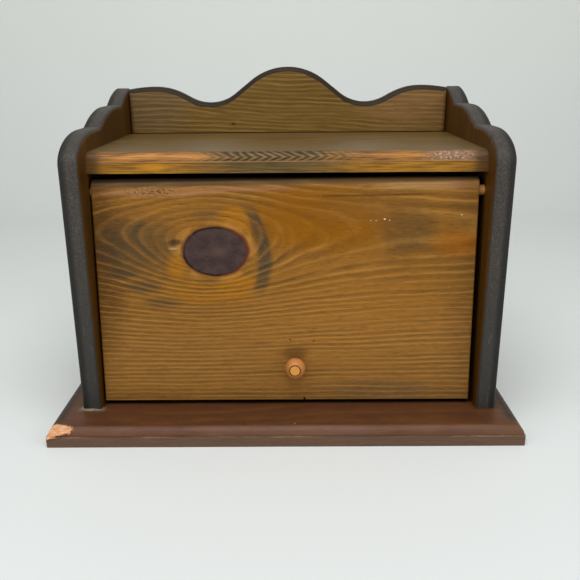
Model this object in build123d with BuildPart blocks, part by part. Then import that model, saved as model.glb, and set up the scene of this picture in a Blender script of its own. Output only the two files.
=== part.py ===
"""A hand-made pine bread box with a lift-up front door.

Two scrolled side boards stand on a moulded base board.  A shelf with a moulded front
edge and a closed back join them, and a scalloped gallery stands on the back board,
behind the shelf.  The door hangs between the sides on two dowel pins near its top
corners, and its foot leans on a stop batten behind it.

Frame: millimetres, +Z up, the front faces -Y.  The case is drawn about its own middle,
and the files are written with the origin at the bottom centre of the base board, which
is the box that holds the whole object.
"""

import os
from math import atan2, cos, degrees, radians, sin, sqrt, tan

from build123d import *

# ---------------------------------------------------------------- driving sizes
board = 19.0                  # thickness of every pine board
inner_width = 370.0           # clear width between the two sides
side_depth = 235.0            # width of the board that the sides are sawn from
opening_height = 229.0        # base board to the underside of the shelf
shelf_setback = 24.0          # shelf's front edge behind the front of the sides

base_left_overhang = 24.5     # base board past the left side board
base_right_overhang = 18.5    # and past the right one: the case stands off centre
base_front_overhang = 40.0    # base board in front of the sides

moulding_square = 10.4        # plain lower part of a moulded edge
moulding_step = 1.2           # how far the round starts behind the square
moulding_round = 8.0          # radius of the round above it
base_corner_round = 1.2       # worn upright corners of the base board
chip_length = 22.0            # split off the base board's front left corner, along its front
chip_turn = 14.0              # degrees that the split face turns towards the board's end
chip_climb = 49.0             # degrees that it faces upwards
side_round = 4.0              # rounded front and top arrises of the sides
gallery_round = 6.0           # rounded upper arrises of the gallery
gallery_end_round = 3.0       # rounded upper corners of the gallery's ends

quarter_turn = 90.0           # degrees

# outline of the sides: three lobes that step up from the front
front_lobe_foot = 239.0       # where the first curve starts, above the base board
front_lobe_run = 60.0         # length of that quarter ellipse, front to back
front_lobe_rise = 27.0        # its height
front_lobe_flat = 29.0        # level stretch behind it
middle_lobe_radius = 148.0    # the second curve is an arc that ends level
middle_lobe_climb = 27.0      # degrees that it climbs at its foot
middle_lobe_flat = 30.0
back_lobe_radius = 125.0      # the third is an arc that the back of the board cuts off
back_lobe_climb = 31.0
notch_round = 2.0             # inner corners between the lobes

# outline of the gallery, from its middle outwards
gallery_height = 74.0         # peak above the shelf
crown_radius = 68.0           # round middle
crown_turn = 38.0             # degrees that the middle turns down
crown_slope = 24.2            # straight stretch below it
valley_radius = 47.0          # hollow
shoulder_turn = 28.0          # degrees that the outline climbs out of the hollow
shoulder_slope = 9.0          # straight stretch of that climb
shoulder_radius = 72.0        # round shoulder
gallery_end_drop = 3.0        # end of the gallery below its shoulder

# door
door_lean = 4.4               # degrees off plumb when it is shut, foot forward
door_left_gap = 2.0           # the door hangs nearer to the left side board
door_right_gap = 6.0
door_foot_gap = 4.9           # lowest edge of the shut door above the base board
door_top_round = 8.0          # worn round of the upper front arris
door_arris = 1.5              # softened lower and end arrises of its front

pin_diameter = 9.5
pin_below_top = 12.5          # pin's axis below the door's upper edge
pin_setback = 34.5            # pin's axis behind the front of the sides
pin_below_shelf = 18.5        # pin's axis below the shelf
pin_in_door = 28.0            # length of the pin inside the door
pin_in_side = 12.0            # depth of the blind hole in each side
pin_end_gap = 0.5             # room at the bottom of that hole
pin_chamfer = 0.8
running_gap = 0.08            # radial clearance where a pin turns
glue_gap = 0.02               # clearance where a piece is glued or driven

stop_width = 12.0             # batten behind the door, front to back
stop_height = 14.0
stop_arris = 1.0              # softened upper edges of the batten
stop_gap = 0.3                # between the shut door and the batten

# knob: a turned bead on a dowel whose end shows at its front
knob_diameter = 20.0          # a drilled ball with two flats
knob_foot_diameter = 14.0     # the flat that meets the door
knob_face_diameter = 12.5     # the flat at its front
knob_bore_chamfer = 0.5       # eased rim of its bore
knob_above_foot = 36.0        # knob's axis above the lower edge of the door
knob_off_centre = 8.5         # to the right of the door's middle
dowel_diameter = 9.5
dowel_proud = 0.5             # dowel's end in front of the bead
dowel_arris = 0.6             # softened rim of that end
dowel_short = 3.0             # dowel's other end inside the door's back face

# fasteners
nail_diameter = 2.4
nail_head_diameter = 3.8
nail_head = 1.8
nail_length = 50.0
nail_set = 0.8                # head driven below the surface
shelf_nail_inset = 36.0       # first and last nail from the front and back of the shelf
gallery_nail_inset = 20.0     # lowest nail above the gallery's lower edge
gallery_nail_pitch = 35.0
back_nail_inset = 36.0        # first and last nail from the edges of the back board
screw_diameter = 4.2
screw_head_diameter = 8.0
screw_head = 2.6
screw_length = 40.0
screw_set = 0.6               # head below the underside of the base board
screw_slot = 1.1              # width and depth of the slot in its head
side_screw_inset = 34.0       # first and last screw from the ends of a side's foot
back_screw_inset = 70.0       # first and last screw from the ends of the back board
brad_diameter = 1.6
brad_head_diameter = 2.4
brad_head = 1.0
brad_length = 27.0
brad_set = 0.6
brad_inset = 44.0             # first and last brad from the ends of the batten

# ---------------------------------------------------------------- places
half_board = board / 2
half_inner = inner_width / 2
half_outer = half_inner + board
base_left = -half_outer - base_left_overhang
base_width = half_outer + base_right_overhang - base_left
base_middle = base_left + base_width / 2
base_depth = side_depth + base_front_overhang
back = base_depth / 2                       # Y of the flush back
sides_front = back - side_depth
rear_front = back - board                   # Y of the front of the back board and gallery
rear_middle = back - half_board
shelf_front = sides_front + shelf_setback
shelf_depth = rear_front - shelf_front
shelf_under = board + opening_height
shelf_top = shelf_under + board

pin_radius = pin_diameter / 2
dowel_radius = dowel_diameter / 2
pin_y = sides_front + pin_setback
pin_z = shelf_under - pin_below_shelf
door_left = -half_inner + door_left_gap
door_right = half_inner - door_right_gap
door_width = door_right - door_left
door_middle = (door_left + door_right) / 2
pin_reach = half_inner + pin_in_side - pin_end_gap
lean = radians(door_lean)
door_drop = (pin_z - board - door_foot_gap + half_board * sin(lean)) / cos(lean)
door_height = pin_below_top + door_drop     # the drop is from the pin's axis to the foot

# the shut door's own plane, through the pins' axis: x along the door, y up the door,
# and z out of its front
door_plane = Plane(
    origin=(0, pin_y, pin_z), x_dir=(1, 0, 0), z_dir=(0, -cos(lean), sin(lean))
)
door_front = door_plane.offset(half_board)
knob_place = (door_middle + knob_off_centre, knob_above_foot - door_drop)

# the bead's centre above its seat, and its whole length, from the sizes of its flats
knob_radius = knob_diameter / 2
knob_middle = sqrt(knob_radius**2 - (knob_foot_diameter / 2) ** 2)
knob_length = knob_middle + sqrt(knob_radius**2 - (knob_face_diameter / 2) ** 2)

# the split runs out halfway round the moulding, its length from the board's end
half_round = moulding_round * (1 - cos(radians(quarter_turn / 2)))
chip_face = Plane(
    origin=(base_left + chip_length, moulding_step + half_round - base_depth / 2, board - half_round),
    z_dir=(
        -sin(radians(chip_turn)) * cos(radians(chip_climb)),
        -cos(radians(chip_turn)) * cos(radians(chip_climb)),
        sin(radians(chip_climb)),
    ),
)

# the batten's upper front edge is the first thing that the door's back would meet
stop_top = board + stop_height
stop_front = pin_y + half_board / cos(lean) - (pin_z - stop_top) * tan(lean) + stop_gap
stop_middle = stop_front + stop_width / 2

right_face = Plane.YZ.offset(half_outer)
underside = Plane(origin=(0, 0, 0), x_dir=(-1, 0, 0), z_dir=(0, 0, -1))
batten_top = Plane.XY.offset(stop_top)


def spread(first, last, count):
    """Evenly spaced places from first to last."""
    step = (last - first) / (count - 1)
    return [first + step * index for index in range(count)]


# nails through the sides are at (y, z), screws and brads at (x, y)
shelf_nails_at = [
    (y, shelf_under + half_board)
    for y in spread(shelf_front + shelf_nail_inset, rear_front - shelf_nail_inset, 3)
]
gallery_nails_at = [
    (rear_middle, shelf_under + gallery_nail_inset + gallery_nail_pitch * index)
    for index in range(2)
]
back_nails_at = [
    (rear_middle, z)
    for z in spread(board + back_nail_inset, shelf_under - back_nail_inset, 3)
]
base_screws_at = [
    (x, y)
    for x in (-half_inner - half_board, half_inner + half_board)
    for y in spread(sides_front + side_screw_inset, back - side_screw_inset, 3)
] + [
    (x, rear_middle)
    for x in spread(back_screw_inset - half_inner, half_inner - back_screw_inset, 3)
]
brads_at = [
    (x, stop_middle)
    for x in spread(brad_inset - half_inner, half_inner - brad_inset, 4)
]

screw_taper = degrees(atan2(screw_head_diameter - screw_diameter, 2 * screw_head))
nail = (nail_diameter, nail_head_diameter, nail_head, nail_length, nail_set, 0)
screw = (
    screw_diameter, screw_head_diameter, screw_head, screw_length, screw_set, screw_taper
)
brad = (brad_diameter, brad_head_diameter, brad_head, brad_length, brad_set, 0)


def driven(surface, places, kind):
    """The fasteners of one kind, driven through a surface at the places."""
    shank, head, head_height, length, depth, taper = kind
    with BuildPart() as row:
        with BuildSketch(surface.offset(-depth)):
            with Locations(*places):
                Circle(shank / 2)
        extrude(amount=-length)
        with BuildSketch(surface.offset(-depth)):
            with Locations(*places):
                Circle(head / 2)
        extrude(amount=-head_height, taper=taper)
    return row.part


def holes(surface, places, kind):
    """The holes that those fasteners leave, open at the surface."""
    shank, head, head_height, length, depth, taper = kind
    with BuildPart() as row:
        with BuildSketch(surface):
            with Locations(*places):
                Circle(shank / 2 + glue_gap)
        extrude(amount=-(depth + length + glue_gap))
        with BuildSketch(surface):
            with Locations(*places):
                Circle(head / 2 + glue_gap)
        extrude(amount=-depth)
        with BuildSketch(surface.offset(-depth)):
            with Locations(*places):
                Circle(head / 2 + glue_gap)
        extrude(amount=-(head_height + glue_gap), taper=taper)
    return row.part


side_nails_at = shelf_nails_at + gallery_nails_at + back_nails_at
with BuildPart() as nail_holes:
    add(holes(right_face, side_nails_at, nail))
    mirror(about=Plane.YZ)
screw_holes = holes(underside, base_screws_at, screw)
brad_holes = holes(batten_top, brads_at, brad)

# ---------------------------------------------------------------- base board
with BuildPart() as base_board:
    with BuildSketch():
        with Locations((base_middle, 0)):
            Rectangle(base_width, base_depth)
    extrude(amount=moulding_square)
    fillet(edges().filter_by(Axis.Z).group_by(Axis.Y)[0], base_corner_round)
    with BuildSketch(Plane.XY.offset(moulding_square)):
        with Locations((base_middle, moulding_step / 2)):
            Rectangle(base_width - 2 * moulding_step, base_depth - moulding_step)
    extrude(amount=board - moulding_square)
    rim = faces().sort_by(Axis.Z)[-1].edges()
    fillet(rim.sort_by(Axis.Y)[:-1], moulding_round)
    with BuildSketch(chip_face):
        Rectangle(4 * chip_length, 4 * chip_length)
    extrude(amount=board, mode=Mode.SUBTRACT)
    add(screw_holes, mode=Mode.SUBTRACT)
    add(brad_holes, mode=Mode.SUBTRACT)

# ---------------------------------------------------------------- sides
with BuildPart() as side_right:
    with BuildSketch(Plane.YZ.offset(half_inner)):
        with BuildLine():
            front = Line((sides_front, board), (sides_front, board + front_lobe_foot))
            first = EllipticalCenterArc(
                front @ 1 + (front_lobe_run, 0),
                front_lobe_run,
                front_lobe_rise,
                start_angle=2 * quarter_turn,
                arc_size=-quarter_turn,
            )
            first_flat = Line(first @ 1, first @ 1 + (front_lobe_flat, 0))
            second = JernArc(
                first_flat @ 1,
                (cos(radians(middle_lobe_climb)), sin(radians(middle_lobe_climb))),
                middle_lobe_radius,
                -middle_lobe_climb,
            )
            second_flat = Line(second @ 1, second @ 1 + (middle_lobe_flat, 0))
            third = JernArc(
                second_flat @ 1,
                (cos(radians(back_lobe_climb)), sin(radians(back_lobe_climb))),
                back_lobe_radius,
                Axis((back, 0, 0), (0, 1, 0)),
            )
            Polyline(third @ 1, (back, board), (sides_front, board))
        make_face()
        notches = [
            vertices().sort_by_distance(flat @ 1)[0] for flat in (first_flat, second_flat)
        ]
        fillet(notches, notch_round)
    extrude(amount=board)
    for face in (faces().sort_by(Axis.X)[0], faces().sort_by(Axis.X)[-1]):
        scrolled = face.edges().filter_by(
            lambda edge: edge.center().Y < rear_middle and edge.center().Z > pin_radius + board
        )
        fillet(scrolled, side_round)
    with BuildSketch(Plane.YZ.offset(half_inner)):
        with Locations((pin_y, pin_z)):
            Circle(pin_radius + running_gap)
    extrude(amount=pin_in_side, mode=Mode.SUBTRACT)
    add(nail_holes.part, mode=Mode.SUBTRACT)
    add(screw_holes, mode=Mode.SUBTRACT)

with BuildPart() as side_left:
    mirror(side_right.part, about=Plane.YZ)

# ---------------------------------------------------------------- shelf
with BuildPart() as top_shelf:
    with BuildSketch(Plane.XY.offset(shelf_under)):
        with Locations((0, shelf_front + shelf_depth / 2)):
            Rectangle(inner_width, shelf_depth)
    extrude(amount=moulding_square)
    with BuildSketch(Plane.XY.offset(shelf_under + moulding_square)):
        with Locations((0, shelf_front + (shelf_depth + moulding_step) / 2)):
            Rectangle(inner_width, shelf_depth - moulding_step)
    extrude(amount=board - moulding_square)
    rim = faces().sort_by(Axis.Z)[-1].edges()
    fillet(rim.sort_by(Axis.Y)[0], moulding_round)
    add(nail_holes.part, mode=Mode.SUBTRACT)

# ---------------------------------------------------------------- gallery
with BuildPart() as back_gallery:
    with BuildSketch(Plane.XZ.offset(-back)):
        with BuildLine():
            crown = JernArc((0, shelf_top + gallery_height), (1, 0), crown_radius, -crown_turn)
            fall = PolarLine(crown @ 1, crown_slope, direction=crown % 1)
            valley = JernArc(fall @ 1, fall % 1, valley_radius, crown_turn + shoulder_turn)
            climb = PolarLine(valley @ 1, shoulder_slope, direction=valley % 1)
            shoulder = JernArc(climb @ 1, climb % 1, shoulder_radius, -shoulder_turn)
            tip = (half_inner, (shoulder @ 1).Y - gallery_end_drop)
            TangentArc(shoulder @ 1, tip, tangent=shoulder % 1)
            Polyline(tip, (half_inner, shelf_under), (0, shelf_under))
            mirror(about=Plane.YZ)
        make_face()
        tips = [vertices().sort_by_distance((side * tip[0], tip[1]))[0] for side in (-1, 1)]
        fillet(tips, gallery_end_round)
    extrude(amount=board)
    for face in (faces().sort_by(Axis.Y)[0], faces().sort_by(Axis.Y)[-1]):
        scalloped = face.edges().filter_by(
            lambda edge: edge.center().Z > shelf_top
            and abs(edge.center().X) < half_inner - glue_gap
        )
        fillet(scalloped, gallery_round)
    add(nail_holes.part, mode=Mode.SUBTRACT)

# ---------------------------------------------------------------- back board
with BuildPart() as back_board:
    with BuildSketch(Plane.XY.offset(board)):
        with Locations((0, rear_middle)):
            Rectangle(inner_width, board)
    extrude(amount=opening_height)
    add(nail_holes.part, mode=Mode.SUBTRACT)
    add(screw_holes, mode=Mode.SUBTRACT)

# ---------------------------------------------------------------- stop batten
with BuildPart() as door_stop:
    with BuildSketch(Plane.XY.offset(board)):
        with Locations((0, stop_middle)):
            Rectangle(inner_width, stop_width)
    extrude(amount=stop_height)
    chamfer(edges().filter_by(Axis.X).group_by(Axis.Z)[-1], stop_arris)
    add(brad_holes, mode=Mode.SUBTRACT)

# ---------------------------------------------------------------- door
up_the_door = Axis(door_plane.origin, door_plane.y_dir)
out_of_the_door = Axis(door_plane.origin, door_plane.z_dir)

with BuildPart() as front_door:
    with BuildSketch(door_plane.offset(-half_board)):
        with Locations((door_middle, pin_below_top - door_height / 2)):
            Rectangle(door_width, door_height)
    extrude(amount=board)
    front = faces().sort_by(out_of_the_door)[-1]
    fillet(front.edges().sort_by(up_the_door)[-1], door_top_round)
    front = faces().sort_by(out_of_the_door)[-1]
    fillet(front.edges().sort_by(up_the_door)[:-1], door_arris)
    for end, inwards in ((door_left, 1), (door_right, -1)):
        with BuildSketch(Plane.YZ.offset(end)):
            with Locations((pin_y, pin_z)):
                Circle(pin_radius + glue_gap)
        extrude(amount=inwards * (pin_in_door + glue_gap), mode=Mode.SUBTRACT)
    with BuildSketch(door_front):
        with Locations(knob_place):
            Circle(dowel_radius + glue_gap)
    extrude(amount=-(board - dowel_short + glue_gap), mode=Mode.SUBTRACT)

# ---------------------------------------------------------------- pins
with BuildPart() as door_pin_right:
    with BuildSketch(Plane.YZ.offset(door_right - pin_in_door)):
        with Locations((pin_y, pin_z)):
            Circle(pin_radius)
    extrude(amount=pin_reach + pin_in_door - door_right)
    chamfer(edges().filter_by(GeomType.CIRCLE), pin_chamfer)

with BuildPart() as door_pin_left:
    with BuildSketch(Plane.YZ.offset(-pin_reach)):
        with Locations((pin_y, pin_z)):
            Circle(pin_radius)
    extrude(amount=pin_reach + pin_in_door + door_left)
    chamfer(edges().filter_by(GeomType.CIRCLE), pin_chamfer)

# ---------------------------------------------------------------- knob
# drawn in a plane through its axis: x is the radius, y the height above the door
knob_seat = door_front.from_local_coords(Vector(*knob_place, 0))
knob_section = Plane(origin=knob_seat, x_dir=(1, 0, 0), z_dir=-door_plane.y_dir)

with BuildPart() as door_knob:
    with BuildSketch(knob_section):
        with BuildLine():
            bead = ThreePointArc(
                (knob_foot_diameter / 2, 0),
                (knob_radius, knob_middle),
                (knob_face_diameter / 2, knob_length),
            )
            Polyline(
                bead @ 1,
                (dowel_radius + glue_gap + knob_bore_chamfer, knob_length),
                (dowel_radius + glue_gap, knob_length - knob_bore_chamfer),
                (dowel_radius + glue_gap, 0),
                bead @ 0,
            )
        make_face()
    revolve(axis=Axis(knob_seat, door_plane.z_dir))

with BuildPart() as knob_dowel:
    with BuildSketch(door_front.offset(dowel_short - board)):
        with Locations(knob_place):
            Circle(dowel_radius)
    extrude(amount=board - dowel_short + knob_length + dowel_proud)
    fillet(
        edges().filter_by(GeomType.CIRCLE).sort_by(out_of_the_door)[-1], dowel_arris
    )

# ---------------------------------------------------------------- fasteners
with BuildPart() as base_screws:
    add(driven(underside, base_screws_at, screw))
    with BuildSketch(underside.offset(-screw_set)):
        with Locations(*base_screws_at):
            Rectangle(screw_head_diameter, screw_slot)
    extrude(amount=-screw_slot, mode=Mode.SUBTRACT)

with BuildPart() as shelf_nails:
    add(driven(right_face, shelf_nails_at, nail))
    mirror(about=Plane.YZ)

with BuildPart() as gallery_nails:
    add(driven(right_face, gallery_nails_at, nail))
    mirror(about=Plane.YZ)

with BuildPart() as back_nails:
    add(driven(right_face, back_nails_at, nail))
    mirror(about=Plane.YZ)

with BuildPart() as stop_brads:
    add(driven(batten_top, brads_at, brad))

# ---------------------------------------------------------------- files
os.makedirs("parts", exist_ok=True)
pieces = {
    "base_board": base_board,
    "side_left": side_left,
    "side_right": side_right,
    "top_shelf": top_shelf,
    "back_gallery": back_gallery,
    "back_board": back_board,
    "door_stop": door_stop,
    "front_door": front_door,
    "door_pin_left": door_pin_left,
    "door_pin_right": door_pin_right,
    "door_knob": door_knob,
    "knob_dowel": knob_dowel,
    "base_screws": base_screws,
    "shelf_nails": shelf_nails,
    "gallery_nails": gallery_nails,
    "back_nails": back_nails,
    "stop_brads": stop_brads,
}
for name, piece in pieces.items():
    placed = piece.part.moved(Location((-base_middle, 0, 0)))
    placed.label = name
    export_step(placed, f"parts/{name}.step")
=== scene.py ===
# %% [markdown]
# # An old pine bread box, finished in Blender
#
# The box is a hand-made one: dark stained boards, a shelf with a scalloped gallery, and a
# golden pine door that lifts on two dowel pins. Its joinery comes in as a fixed frame, at
# its real size. What is left for Blender is the finish: figured wood, worn arrises, a chip
# in the base board, a bead of old glue, and plain light to see it in.
#
# Each part of the lesson is a short note like this one, then the code for that step.

# %% Load the frame
import math

import bmesh
import bpy
import numpy as np
from mathutils import Matrix, Vector


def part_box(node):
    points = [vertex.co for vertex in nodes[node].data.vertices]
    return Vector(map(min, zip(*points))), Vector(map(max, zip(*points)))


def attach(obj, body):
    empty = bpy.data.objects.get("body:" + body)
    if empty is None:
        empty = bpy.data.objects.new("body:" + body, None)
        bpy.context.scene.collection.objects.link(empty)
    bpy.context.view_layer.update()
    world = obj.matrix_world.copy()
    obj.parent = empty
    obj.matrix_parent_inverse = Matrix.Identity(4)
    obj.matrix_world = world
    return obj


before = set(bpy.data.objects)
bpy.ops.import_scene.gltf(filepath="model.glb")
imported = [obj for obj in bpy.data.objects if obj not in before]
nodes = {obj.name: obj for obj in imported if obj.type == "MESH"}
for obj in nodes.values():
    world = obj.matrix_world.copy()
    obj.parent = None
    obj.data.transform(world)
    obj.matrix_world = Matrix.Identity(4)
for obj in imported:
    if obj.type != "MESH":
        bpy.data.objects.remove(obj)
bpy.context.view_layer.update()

MM = 0.001                     # the drawing is in metres, the notes are in millimetres
print("nodes in the frame:", len(nodes))

# %% [markdown]
# ## Where things are
#
# Every place below is worked out from the boxes of the frame's own nodes, so the finish
# follows the joinery. All of them are in millimetres, as arrays of x, y and z.

# %% Corners of the pieces
def corners(name):
    """Lowest and highest corner of one node, in millimetres."""
    low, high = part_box(name)
    return np.array(low) / MM, np.array(high) / MM


base_low, base_high = corners("base_board")
left_low, left_high = corners("side_left")
right_low, right_high = corners("side_right")
shelf_low, shelf_high = corners("top_shelf")
gallery_low, gallery_high = corners("back_gallery")
door_low, door_high = corners("front_door")
knob_low, knob_high = corners("door_knob")

quirk_height = 10.4            # how far up a moulded edge its round starts
moulding_round = 8.0           # radius of that round, on the shelf and on the base board

case_middle = (left_low[0] + right_high[0]) / 2
half_case = (right_high[0] - left_low[0]) / 2
half_inside = (right_low[0] - left_high[0]) / 2
door_middle = (door_low[0] + door_high[0]) / 2
foot, head = door_low[2], door_high[2]           # heights of the door's lower and upper edge
print("case middle", round(case_middle, 2), "door middle", round(door_middle, 2))

# %% [markdown]
# ## Wiring node trees like formulas
#
# A procedural material is a formula drawn with boxes and wires. It could be built node by
# node, but then its sums are hard to read. Here a small class stands for one wire: adding
# or multiplying wires makes the Math nodes, so the code below reads as the formula does.

# %% One wire
def plug(value, entry):
    """Link a wire to a socket, or type a plain number or colour into it."""
    if isinstance(value, Wire):
        value.tree.links.new(value.socket, entry)
    else:
        entry.default_value = value


class Wire:
    """One value on its way through a node tree."""

    def __init__(self, socket):
        self.socket = socket
        self.tree = socket.id_data

    def math(self, operation, *others):
        node = self.tree.nodes.new("ShaderNodeMath")
        node.operation = operation
        for entry, value in zip(node.inputs, (self, *others)):
            plug(value, entry)
        return Wire(node.outputs[0])

    def __add__(self, other):
        return self.math("ADD", other)

    def __sub__(self, other):
        return self.math("SUBTRACT", other)

    def __mul__(self, other):
        return self.math("MULTIPLY", other)

    def __truediv__(self, other):
        return self.math("DIVIDE", other)

    def __neg__(self):
        return self * -1.0

    def __abs__(self):
        return self.math("ABSOLUTE")

    __radd__ = __add__

    def __rsub__(self, other):
        return -self + other

    def square(self):
        return self * self

    def root(self):
        return self.math("SQRT")


# %% [markdown]
# A few more words of the same language: a smooth rise between two values, a mix of two
# colours, coats laid one over another, and noise. Colours are written as they look on a
# screen, and turned into the linear light that the renderer counts in.

# %% Words for masks, colours and noise
def rise(value, start, end):
    """0 below start, 1 above end, and a smooth S between them."""
    node = value.tree.nodes.new("ShaderNodeMapRange")
    node.interpolation_type = "SMOOTHSTEP"
    for name, entry in (("Value", value), ("From Min", start), ("From Max", end)):
        plug(entry, node.inputs[name])
    return Wire(node.outputs[0])


def fall(value, start, end):
    """1 below start, 0 above end."""
    return 1.0 - rise(value, start, end)


def paint(text):
    """Screen colour "#rrggbb" as linear red, green, blue and alpha."""
    screen = np.array([int(text[i : i + 2], 16) for i in (1, 3, 5)]) / 255
    linear = np.where(screen <= 0.04045, screen / 12.92, ((screen + 0.055) / 1.055) ** 2.4)
    return (*linear.tolist(), 1.0)


def tint(mask, under, over):
    """The colour under, with the colour over laid on it as far as the mask says."""
    node = mask.tree.nodes.new("ShaderNodeMix")
    node.data_type = "RGBA"
    for entry, value in zip((node.inputs[0], node.inputs[6], node.inputs[7]), (mask, under, over)):
        plug(paint(value) if isinstance(value, str) else value, entry)
    return Wire(node.outputs[2])


def coats(colour, *layers):
    """Lay coats over a colour, one after another: each is a mask, its strength and a colour."""
    for mask, strength, over in layers:
        colour = tint(mask * strength, colour, over)
    return colour


def point(x, y, z):
    """Three wires as one vector."""
    node = x.tree.nodes.new("ShaderNodeCombineXYZ")
    for entry, value in zip(node.inputs, (x, y, z)):
        plug(value, entry)
    return Wire(node.outputs[0])


def noise(x, y, z, detail=2.0, roughness=0.5):
    """Cloudy noise around 0.5, with one cloud to each unit of x, y and z."""
    node = x.tree.nodes.new("ShaderNodeTexNoise")
    plug(point(x, y, z), node.inputs["Vector"])
    for name, number in (("Scale", 1.0), ("Detail", detail), ("Roughness", roughness)):
        node.inputs[name].default_value = number
    return Wire(node.outputs[0])


def coordinates(tree, output):
    """One output of the Texture Coordinate node, as x, y and z."""
    where = tree.nodes.new("ShaderNodeTexCoord")
    parts = tree.nodes.new("ShaderNodeSeparateXYZ")
    tree.links.new(where.outputs[output], parts.inputs[0])
    return [Wire(parts.outputs[axis]) for axis in range(3)]


def place(tree):
    """Where this point of the surface is on the object, in millimetres, as x, y and z."""
    return [metres * (1 / MM) for metres in coordinates(tree, "Object")]


def facing(tree, axis):
    """How much this point of the surface faces along x, y or z, which are axis 0, 1 and 2."""
    return coordinates(tree, "Normal")[axis]


# %% [markdown]
# An effect that several boards share is a node group: built once, with named inputs and
# outputs, then placed in each material with its own numbers. The next helper makes such a
# group from a formula, and the one after it places a group in a material.

# %% Building and placing shared effects
def effect(name, inputs, formula):
    """A node group whose outputs are what formula returns for its inputs."""
    group = bpy.data.node_groups.new(name, "ShaderNodeTree")
    for title, default in inputs.items():
        made = group.interface.new_socket(title, in_out="INPUT", socket_type="NodeSocketFloat")
        made.default_value = default
    entry = group.nodes.new("NodeGroupInput")
    results = formula(*[Wire(entry.outputs[title]) for title in inputs])
    leave = group.nodes.new("NodeGroupOutput")
    for title, wire in results.items():
        group.interface.new_socket(title, in_out="OUTPUT", socket_type="NodeSocketFloat")
        plug(wire, leave.inputs[title])
    print("effect", name, "has", len(group.nodes), "nodes")
    return group


def use(tree, group, **values):
    """One placing of a group: its outputs as wires, by name."""
    node = tree.nodes.new("ShaderNodeGroup")
    node.node_tree = group
    for title, value in values.items():
        plug(value, node.inputs[title.replace("_", " ")])
    return {out.name: Wire(out) for out in node.outputs}


# %% [markdown]
# ## The figure of a sawn board
#
# The lines in pine are growth rings: thin tubes around the middle of the tree, which run
# along the board. A picture of lines would have to be stretched over each face and would
# break at the edges. It is simpler to do what the saw does: say where the middle of the
# tree was, measure how far each point of the board is from it, and colour by that. The
# face, the arrises and the end grain then agree by themselves.

# %% Growth rings
def ring_formula(along, across, depth, pith_across, pith_depth, width, wander, swell):
    """Distance from the pith, bent by slow noise, counted in rings. Old stain sits deep in
    the soft early wood and thin on the hard late wood, so each ring is a dark band that
    fades, then a thin light line."""
    slow = noise(along * 0.0035, across * 0.012, depth * 0.012, 2.0) - 0.5
    quick = noise(along * 0.02, across * 0.06, depth * 0.06, 3.0, 0.6) - 0.5
    radius = ((across - pith_across).square() + (depth - pith_depth).square()).root()
    warped = radius + slow * wander + quick * wander * 0.1 + swell
    rings = warped / width
    share = rings.math("FRACT")
    line = rise(share, 0.62, 0.8) * fall(share, 0.88, 1.0)
    band = rise(share, 0.0, 0.12) * fall(share, 0.25, 0.68)
    strength = noise(rings.math("FLOOR") * 0.71, along * 0.006, across * 0.006, 2.0)
    strength = rise(strength, 0.22, 0.7)
    fibre = noise(along * 0.03, warped * 0.52 + across * 0.1, depth * 0.1, 4.0, 0.66)
    pores = rise(noise(along * 0.06, across * 1.1, depth * 1.1, 3.0), 0.58, 0.7)
    return {
        "Line": line * strength * (fibre + 0.45),
        "Band": band * strength,
        "Fibre": fibre,
        "Pores": pores,
        "Relief": line * 0.4 + fibre * 0.6 - pores * 0.4,
    }


growth_rings = effect(
    "growth_rings",
    {"Along": 0.0, "Across": 0.0, "Depth": 0.0, "Pith across": 0.0, "Pith depth": 60.0,
     "Ring width": 5.0, "Wander": 18.0, "Swell": 0.0},
    ring_formula,
)

# %% [markdown]
# ## Handling marks
#
# Years of kitchen use leave three kinds of mark: cloudy grime, small pale nicks, and
# a fine dark grain in the finish. They are one group, because every board has them.

# %% Grime, nicks and grain of the finish
def mark_formula(x, y, z, nick_size):
    """Slow noise for grime; the tiny centres of scattered cells for nicks; quick noise for
    the grain of the finish."""
    grime = noise(x * 0.011, y * 0.011, z * 0.019, 4.0, 0.6)
    cells = x.tree.nodes.new("ShaderNodeTexVoronoi")
    plug(point(x * 0.035, y * 0.035, z * 0.05), cells.inputs["Vector"])
    cells.inputs["Scale"].default_value = 1.0
    ragged = noise(x * 0.8, y * 0.8, z * 0.8, 3.0) - 0.5
    nicks = fall(Wire(cells.outputs["Distance"]) + ragged * 0.05, 0.0, nick_size)
    grain = noise(x * 1.1, y * 1.1, z * 1.1, 4.0, 0.7)
    return {"Grime": grime, "Nicks": nicks, "Grain": grain}


handling_marks = effect(
    "handling_marks", {"X": 0.0, "Y": 0.0, "Z": 0.0, "Nick size": 0.03}, mark_formula
)

# %% [markdown]
# ## A worn patch
#
# Much of the likeness of old furniture is in patches: here the stain took well, there a
# cloth has rubbed it thin. A patch is an oval mask with a ragged rim.

# %% Patches
def patch_formula(along, across, centre_along, centre_across, half_along, half_across, ragged):
    """1 at the centre of an oval and 0 outside it, with a rim broken by noise."""
    reach = (
        ((along - centre_along) / half_along).square()
        + ((across - centre_across) / half_across).square()
    ).root()
    broken = noise(along * 0.05, across * 0.16, 0.0, 4.0, 0.65) - 0.5
    return {"Mask": fall(reach + broken * ragged, 0.35, 1.1)}


worn_patch = effect(
    "worn_patch",
    {"Along": 0.0, "Across": 0.0, "Centre along": 0.0, "Centre across": 0.0,
     "Half along": 30.0, "Half across": 15.0, "Ragged": 0.9},
    patch_formula,
)


def patch(along, across, centre, halves, ragged=0.9):
    """Place one patch in the tree that the wires belong to."""
    return use(
        along.tree, worn_patch, Along=along, Across=across,
        Centre_along=centre[0], Centre_across=centre[1],
        Half_along=halves[0], Half_across=halves[1], Ragged=ragged,
    )["Mask"]


# %% [markdown]
# ## From a formula to a finish
#
# The last helper turns a recipe into a material. The recipe gives the colour, the roughness
# and how high each point stands; the shader and its fixed numbers stay here.

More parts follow.
